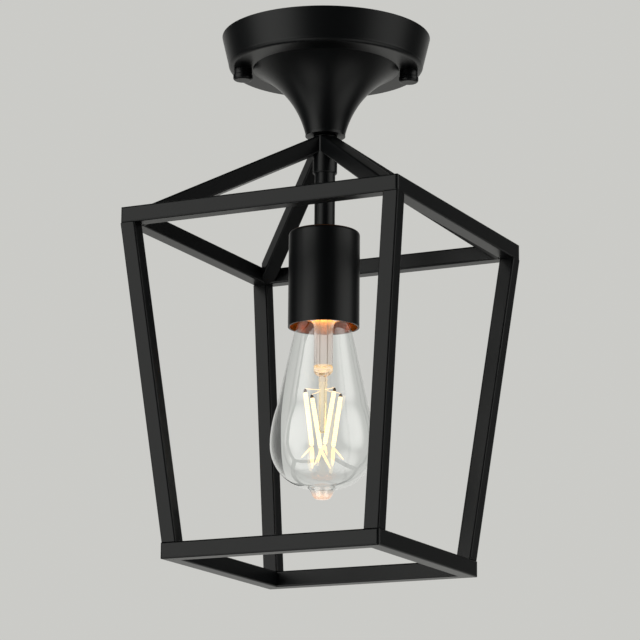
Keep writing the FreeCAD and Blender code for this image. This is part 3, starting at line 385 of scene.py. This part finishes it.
def turned(name, rings, sides=ROUND, closed=(False, False), wall=0.0):
    """A turned piece: a circle extruded and scaled from ring to ring. Rings are radii and heights in mm."""
    clear_selection()
    radius, height = rings[0]
    bpy.ops.mesh.primitive_circle_add(vertices=sides, radius=radius * MM, location=(0, 0, height * MM))
    piece = bpy.context.object
    piece.name = piece.data.name = name
    bpy.ops.object.mode_set(mode="EDIT")
    for next_radius, next_height in rings[1:]:
        bpy.ops.mesh.extrude_region_move(TRANSFORM_OT_translate={"value": (0, 0, (next_height - height) * MM)})
        grow = next_radius / radius
        bpy.ops.transform.resize(value=(grow, grow, 1), center_override=(0, 0, next_height * MM))
        radius, height = next_radius, next_height
    for shut, (end_radius, end_height) in zip(closed, (rings[0], rings[-1])):
        if shut:
            select_where(piece, lambda place: abs(place.z - end_height) < ON_RING_MM
                         and abs(place.xy.length - end_radius) < ON_RING_MM)
            bpy.ops.mesh.edge_face_add()
            bpy.ops.mesh.inset(thickness=end_radius * 0.4 * MM)
            bpy.ops.mesh.poke()
    bpy.ops.mesh.select_all(action="SELECT")
    bpy.ops.mesh.remove_doubles(threshold=MERGE_M)
    bpy.ops.mesh.normals_make_consistent(inside=False)
    bpy.ops.object.mode_set(mode="OBJECT")
    if wall:
        thick = piece.modifiers.new("wall", "SOLIDIFY")
        thick.thickness, thick.offset = wall * MM, -1.0
        thick.use_even_offset = True
    apply_all(piece)
    bpy.ops.object.shade_smooth_by_angle(angle=SMOOTH_ANGLE)
    return piece


def placed(piece, matrix):
    """Moves a finished piece to its place and leaves its object at the origin."""
    piece.matrix_world = matrix
    apply_all(piece)
    return piece


def along(start, end):
    """The turn and shift that carry the Z axis onto the line from start down to end, in mm."""
    run = (end - start).normalized()
    return Matrix.Translation(start * MM) @ run.to_track_quat("Z", "Y").to_matrix().to_4x4()


def wire(name, points, radius):
    """A round wire on a smooth line through points in mm."""
    clear_selection()
    bpy.ops.curve.primitive_nurbs_path_add()
    line = bpy.context.object
    line.name = name
    line.data.splines.clear()
    spline = line.data.splines.new("NURBS")
    spline.points.add(len(points) - 1)
    for point, place in zip(spline.points, points):
        point.co = (*(Vector(place) * MM), 1.0)
    spline.order_u = min(3, len(points))
    spline.use_endpoint_u = True
    line.data.bevel_depth = radius * MM
    line.data.bevel_resolution = 3
    line.data.resolution_u = 8
    line.data.use_fill_caps = True
    bpy.ops.object.convert(target="MESH")
    piece = bpy.context.object
    piece.name = piece.data.name = name
    bpy.ops.object.mode_set(mode="EDIT")
    bpy.ops.mesh.select_all(action="SELECT")
    bpy.ops.mesh.remove_doubles(threshold=MERGE_M)
    bpy.ops.mesh.normals_make_consistent(inside=False)
    bpy.ops.object.mode_set(mode="OBJECT")
    apply_all(piece)
    bpy.ops.object.shade_smooth_by_angle(angle=SMOOTH_ANGLE)
    return piece


def joined(name, pieces):
    clear_selection()
    for piece in pieces:
        piece.select_set(True)
    bpy.context.view_layer.objects.active = pieces[0]
    bpy.ops.object.join()
    whole = bpy.context.object
    whole.name = whole.data.name = name
    return whole


def arc_rings(centre_z, radius, first, last, steps, centre_r=0.0):
    """Rings on a round profile, from one angle below the horizontal to another."""
    rings = []
    for step in range(steps + 1):
        angle = math.radians(first + (last - first) * step / steps)
        rings.append((centre_r + radius * math.cos(angle), centre_z - radius * math.sin(angle)))
    return rings


# ---- lamp --------------------------------------------------------------------------------------------------

def lamp_bulb():
    """Blown bulb: neck, straight flare, round shoulder, blunt round end and the conical sealed tip."""
    narrowing, shoulder_run, shoulder_steps = 4.0, 23.5, 12
    bend = (narrowing ** 2 + shoulder_run ** 2) / (2 * narrowing)
    shoulder = []
    for step in range(1, shoulder_steps + 1):
        back = shoulder_run - shoulder_run * step / shoulder_steps
        shoulder.append((GLASS_R - (bend - math.sqrt(bend ** 2 - back ** 2)), WIDEST_Z + back))
    neck_r, neck_end, flare_run, flare_steps = 16.9, BASE_Z - 8.0, 50.5, 10
    widening = GLASS_R - narrowing - neck_r
    flare = [(neck_r + widening * step / flare_steps, neck_end - flare_run * step / flare_steps)
             for step in range(1, flare_steps + 1)]
    neck = [(11.3, glass_high.z), (11.3, BASE_Z + 1.0), (11.5, BASE_Z - 0.4), (12.4, BASE_Z - 2.0),
            (14.2, BASE_Z - 4.4), (15.8, BASE_Z - 6.4), (neck_r, BASE_Z - 8.4)]
    dome_centre_r = 5.3
    dome = arc_rings(WIDEST_Z, GLASS_R - dome_centre_r, 4.0, 82.0, 24, dome_centre_r)
    root_r, root_z = dome[-1]
    tip_z = glass_low.z + 0.05
    nub = [(root_r - 0.9, root_z - 0.5), (root_r - 1.5, root_z - 1.3), (root_r - 2.1, root_z - 2.3),
           (5.9, tip_z + 2.3), (5.2, tip_z + 1.2), (4.4, tip_z + 0.5), (3.4, tip_z + 0.12), (2.2, tip_z)]
    bulb = turned("lamp_bulb", neck + flare + shoulder + dome + nub, closed=(False, True), wall=0.32)
    paint(bulb, clear)
    return bulb


STEM_SIDES, PRESS_FLATNESS = 48, 0.7


def lamp_stem():
    """Inner stem: flared drawn tube, pinched press, beaded column and the rod between the sticks."""
    top = glass_high.z
    tube_end = BASE_Z - 37.0
    tube = turned("lamp_stem", [
        (10.3, top), (10.3, BASE_Z + 1.0), (10.9, BASE_Z - 0.6), (11.6, BASE_Z - 2.2), (11.8, BASE_Z - 3.0),
        (11.2, BASE_Z - 3.6), (9.2, BASE_Z - 4.3), (7.4, BASE_Z - 5.4), (6.3, BASE_Z - 7.4), (5.8, BASE_Z - 10.0),
        (5.8, tube_end + 1.5), (5.7, tube_end + 0.3), (5.3, tube_end - 0.8), (4.2, tube_end - 1.8),
        (2.9, tube_end - 2.4), (2.2, tube_end - 3.2), (2.9, tube_end - 4.2), (2.9, tube_end - 5.2),
        (2.3, tube_end - 6.4), (2.8, tube_end - 7.4), (2.6, tube_end - 8.4), (2.3, tube_end - 9.6),
        (2.2, tube_end - 35.6), (1.7, tube_end - 36.8), (0.8, tube_end - 37.4),
    ], STEM_SIDES, (False, True))
    bore = turned("stem_bore", [
        (0.9, tube_end + 1.4), (3.4, tube_end + 2.2), (4.9, tube_end + 4.0), (4.9, BASE_Z - 10.2),
        (5.4, BASE_Z - 7.8), (6.6, BASE_Z - 5.9), (8.6, BASE_Z - 4.9), (10.6, BASE_Z - 4.0), (10.9, BASE_Z - 3.2),
        (10.6, BASE_Z - 2.2), (9.8, BASE_Z - 0.4), (9.5, BASE_Z + 1.0), (9.5, top)], STEM_SIDES, (True, False))
    select_only(bore)
    bpy.ops.object.mode_set(mode="EDIT")
    bpy.ops.mesh.select_all(action="SELECT")
    bpy.ops.mesh.flip_normals()
    bpy.ops.object.mode_set(mode="OBJECT")
    stem = joined("lamp_stem", [tube, bore])
    bpy.ops.object.mode_set(mode="EDIT")
    select_where(stem, lambda place: abs(place.z - top) < ON_RING_MM)
    bpy.ops.mesh.bridge_edge_loops()
    select_where(stem, lambda place: tube_end - 3.0 < place.z < tube_end - 0.5 and place.xy.length > 2.5)
    bpy.ops.transform.resize(value=(1.0, PRESS_FLATNESS, 1.0), center_override=(0, 0, (tube_end - 2) * MM))
    bpy.ops.mesh.select_all(action="SELECT")
    bpy.ops.mesh.normals_make_consistent(inside=False)
    bpy.ops.object.mode_set(mode="OBJECT")
    bpy.ops.object.shade_smooth_by_angle(angle=SMOOTH_ANGLE)
    paint(stem, stem_clear)
    return stem


def level_way(degrees):
    angle = math.radians(degrees)
    return Vector((math.cos(angle), math.sin(angle), 0))


def four_times(name, piece):
    """Copies a finished piece to the other three quarters round the axis and joins all four."""
    copies = [piece]
    for quarter in (1, 2, 3):
        select_only(piece)
        bpy.ops.object.duplicate(linked=False)
        copy = bpy.context.object
        copy.rotation_euler = (0, 0, math.radians(90.0 * quarter))
        apply_all(copy)
        copies.append(copy)
    return joined(name, copies)


STICK_TOP_TURN, STICK_LOW_TURN = 58.0, 37.5
STICK_TOP_R, STICK_LOW_R = 12.6, 6.6
STICK_TOP_INSET, STICK_LOW_INSET = 0.9, 0.4


def stick_ends():
    """Top and bottom of the first stick in mm, as the solids have them."""
    low, high = (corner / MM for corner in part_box("filament_sticks"))
    return (level_way(STICK_TOP_TURN) * STICK_TOP_R + Vector((0, 0, high.z - STICK_TOP_INSET)),
            level_way(STICK_LOW_TURN) * STICK_LOW_R + Vector((0, 0, low.z + STICK_LOW_INSET)))


def lamp_sticks():
    """Four lit sticks: a round phosphor coat with soft ends."""
    top, low = stick_ends()
    length = (low - top).length
    stick = turned("stick", [
        (0.7, 0.0), (1.1, 0.25), (1.25, 0.8), (1.3, length / 3), (1.3, length * 2 / 3),
        (1.25, length - 0.8), (1.1, length - 0.25), (0.7, length)], sides=20, closed=(True, True))
    paint(stick, phosphor)
    return four_times("filament_sticks_lit", placed(stick, along(top, low)))


def flat_foot(start, toe, width):
    """A flat metal foot, narrow at both ends."""
    length = (toe - start).length
    flatness = 0.7
    foot = turned("foot", [
        (0.3, 0), (0.55, length * 0.07), (0.8, length * 0.26), (0.75, length * 0.61),
        (0.5, length * 0.83), (0.2, length)], sides=12, closed=(True, True))
    foot.scale = (width, width * flatness, 1.0)
    apply_all(foot)
    paint(foot, painted_glow_metal)
    return placed(foot, along(start, toe))


def lamp_wires():
    """Hooks from the column to the sticks' tops, the dark lug of each stick, and the splayed feet in pairs."""
    top, low = stick_ends()
    run = (low - top).normalized()
    way = level_way(STICK_TOP_TURN)
    lug_length, hook_r = 2.2, 0.16
    lug_top = top - run * lug_length
    lug = turned("lug", [(0.45, 0), (0.7, 0.5), (1.0, 0.9), (1.0, 1.9), (0.75, 2.15)], sides=16, closed=(True, True))
    paint(lug, lug_metal)
    hook = wire("hook", [way * 2.0 + Vector((0, 0, lug_top.z + 0.8)), way * 7.0 + Vector((0, 0, lug_top.z + 0.2)),
                         lug_top - run * 0.3, lug_top + run * 0.4], hook_r)
    paint(hook, painted_glow_metal)
    ankle = low + run * 0.4
    long_toe = level_way(STICK_LOW_TURN - 50.0) * 7.8 + Vector((0, 0, low.z - 12.8))
    short_toe = level_way(STICK_LOW_TURN) * 13.0 + Vector((0, 0, low.z - 7.8))
    quarter = joined("wires_of_one_stick", [
        placed(lug, along(lug_top, top)), hook, flat_foot(ankle, long_toe, 1.5), flat_foot(ankle, short_toe, 1.0)])
    return four_times("filament_wires", quarter)


bulb = lamp_bulb()
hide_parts("lamp_glass")
stem = lamp_stem()
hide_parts("lamp_stem_glass")
sticks = lamp_sticks()
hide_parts("filament_sticks")
wires = lamp_wires()
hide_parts("filament_supports")
for piece in (bulb, stem, sticks, wires):
    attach(piece, "lamp")


# ---- room, lights and camera -------------------------------------------------------------------------------

ROOM_TONE, ROOM_SEEN = "#dfdfdb", 0.81
FLOOR_SIZE_M, FLOOR_Z_M = 12.0, -2.6
MIDDLE = Vector((0, 0, -0.17))  # the lantern's middle, in metres
# Soft bright patches that the black coat mirrors: azimuth, rise and half-width in degrees, then brightness.
ROOM_LOBES = (
    (-32.0, 10.0, 42.0, 6.2), (97.0, 14.0, 37.0, 5.0), (-36.0, -46.0, 41.0, 4.9), (98.0, -46.0, 39.0, 4.0),
    (207.0, -14.0, 60.0, 1.1))


def seen_directly(tree):
    """1 for what the camera sees, straight or through glass."""
    path = add(tree, "ShaderNodeLightPath")
    return add(tree, "ShaderNodeMath", {0: path.outputs["Is Camera Ray"], 1: path.outputs["Is Transmission Ray"]},
               operation="MAXIMUM").outputs[0]


def floor(seen):
    """Plain pale floor far below the lantern. It looks like the room behind it, so that it shows no edge."""
    clear_selection()
    bpy.ops.mesh.primitive_plane_add(size=FLOOR_SIZE_M, location=(0, 0, FLOOR_Z_M))
    ground = bpy.context.object
    ground.name = ground.data.name = "floor"
    material, tree, place = new_finish("pale_floor")
    cloud = speckle(tree, place, 900.0)
    tone = between(tree, cloud, "#c6c7c3", "#cecfcb")
    matt = add(tree, "ShaderNodeBsdfPrincipled", {"Base Color": tone, "Roughness": 0.9})
    plain = add(tree, "ShaderNodeEmission", {"Color": colour(ROOM_TONE), "Strength": seen})
    close(tree, add(tree, "ShaderNodeMixShader", {
        0: seen_directly(tree), 1: matt.outputs[0], 2: plain.outputs[0]}).outputs[0])
    paint(ground, material)
    ground.visible_glossy = False


def lobe(tree, way, azimuth, rise, spread, strength):
    """Brightness of one soft patch of the room, round a direction given by its turn and rise in degrees."""
    turn, lift = math.radians(azimuth), math.radians(rise)
    centre = (math.sin(turn) * math.cos(lift), -math.cos(turn) * math.cos(lift), math.sin(lift))
    near = add(tree, "ShaderNodeVectorMath", {0: way, 1: centre}, operation="DOT_PRODUCT").outputs["Value"]
    edge = math.cos(math.radians(spread))
    return add(tree, "ShaderNodeMapRange", {"Value": near, "From Min": edge, "From Max": 1.0, "To Max": strength},
               interpolation_type="SMOOTHERSTEP").outputs["Result"]


def world(seen, lit, dim, lobes):
    """Pale room: plain where it is seen or shines through glass, with soft bright patches where it is mirrored."""
    room = bpy.data.worlds.new("room")
    bpy.context.scene.world = room
    room.use_nodes = True
    tree = room.node_tree
    tree.nodes.clear()
    way = add(tree, "ShaderNodeTexCoord").outputs["Generated"]
    mirrored = dim
    for azimuth, rise, spread, brightness in lobes:
        patch = lobe(tree, way, azimuth, rise, spread, brightness)
        mirrored = add(tree, "ShaderNodeMath", {0: patch, 1: mirrored}).outputs[0]
    glossy = add(tree, "ShaderNodeLightPath").outputs["Is Glossy Ray"]
    unseen = add(tree, "ShaderNodeMix", {"Factor": glossy, 2: lit, 3: mirrored}, data_type="FLOAT").outputs[0]
    strength = add(tree, "ShaderNodeMix", {"Factor": seen_directly(tree), 2: unseen, 3: seen}, data_type="FLOAT")
    back = add(tree, "ShaderNodeBackground", {"Color": colour(ROOM_TONE), "Strength": strength.outputs[0]})
    add(tree, "ShaderNodeOutputWorld", {"Surface": back.outputs[0]})


def aim(place, target):
    return (target - place).to_track_quat("-Z", "Y").to_euler()


def soft_light(name, azimuth, elevation, distance, width, height, watts, tint="#ffffff"):
    """A rectangular studio light that looks at the lantern's middle."""
    angle, rise = math.radians(azimuth), math.radians(elevation)
    way = Vector((math.sin(angle) * math.cos(rise), -math.cos(angle) * math.cos(rise), math.sin(rise)))
    data = bpy.data.lights.new(name, "AREA")
    data.shape, data.size, data.size_y = "RECTANGLE", width, height
    data.energy, data.color = watts, colour(tint)[:3]
    light = bpy.data.objects.new(name, data)
    light.visible_glossy = light.visible_transmission = False
    light.location = MIDDLE + way * distance
    light.rotation_euler = aim(light.location, MIDDLE)
    bpy.context.scene.collection.objects.link(light)


def lamp_glow():
    """Small warm lights in the cup's mouth, round the neck: what the lit sticks throw up into it."""
    count, ring_r, height = 8, 0.0186, -0.1815
    for place in range(count):
        angle = math.radians(360.0 / count * (place + 0.5))
        data = bpy.data.lights.new("cup_glow_%d" % place, "POINT")
        data.energy, data.color, data.shadow_soft_size = 0.0022, colour("#ff9a3c")[:3], 0.002
        light = bpy.data.objects.new(data.name, data)
        light.location = (ring_r * math.cos(angle), ring_r * math.sin(angle), height)
        light.visible_camera = light.visible_glossy = light.visible_transmission = False
        bpy.context.scene.collection.objects.link(light)


def photo_camera():
    """Camera at the photograph's viewing angle, below the lantern and to its right."""
    azimuth, elevation, roll = math.radians(26.23), math.radians(-12.98), math.radians(0.52)
    distance, focal_px, frame_px = 1839.6, 3009.0, 640.0
    look_z, shift = -180.08, -2.27
    back = Vector((math.sin(azimuth) * math.cos(elevation), -math.cos(azimuth) * math.cos(elevation),
                   math.sin(elevation)))
    right = Vector((math.cos(azimuth), math.sin(azimuth), 0))
    up = back.cross(right)
    target = Vector((0, 0, look_z)) + right * shift
    data = bpy.data.cameras.new("photo_camera")
    data.sensor_width = 36.0
    data.lens = focal_px * data.sensor_width / frame_px
    data.clip_start, data.clip_end = 0.05, 50.0
    camera = bpy.data.objects.new("photo_camera", data)
    across = right * math.cos(roll) + up * math.sin(roll)
    upright = up * math.cos(roll) - right * math.sin(roll)
    turn = Matrix((across, upright, back)).transposed().to_4x4()
    camera.matrix_world = Matrix.Translation((target + back * distance) * MM) @ turn
    bpy.context.scene.collection.objects.link(camera)
    bpy.context.scene.camera = camera


floor(ROOM_SEEN)
world(seen=ROOM_SEEN, lit=0.5, dim=0.08, lobes=ROOM_LOBES)
soft_light("key", -30.0, 12.0, 2.2, 1.2, 1.6, 16.0)
soft_light("fill", 78.0, 18.0, 2.2, 0.7, 1.6, 9.0)
soft_light("back", 200.0, 35.0, 2.4, 1.4, 1.0, 8.0)
lamp_glow()
photo_camera()
bpy.context.scene.view_settings.view_transform = "Standard"
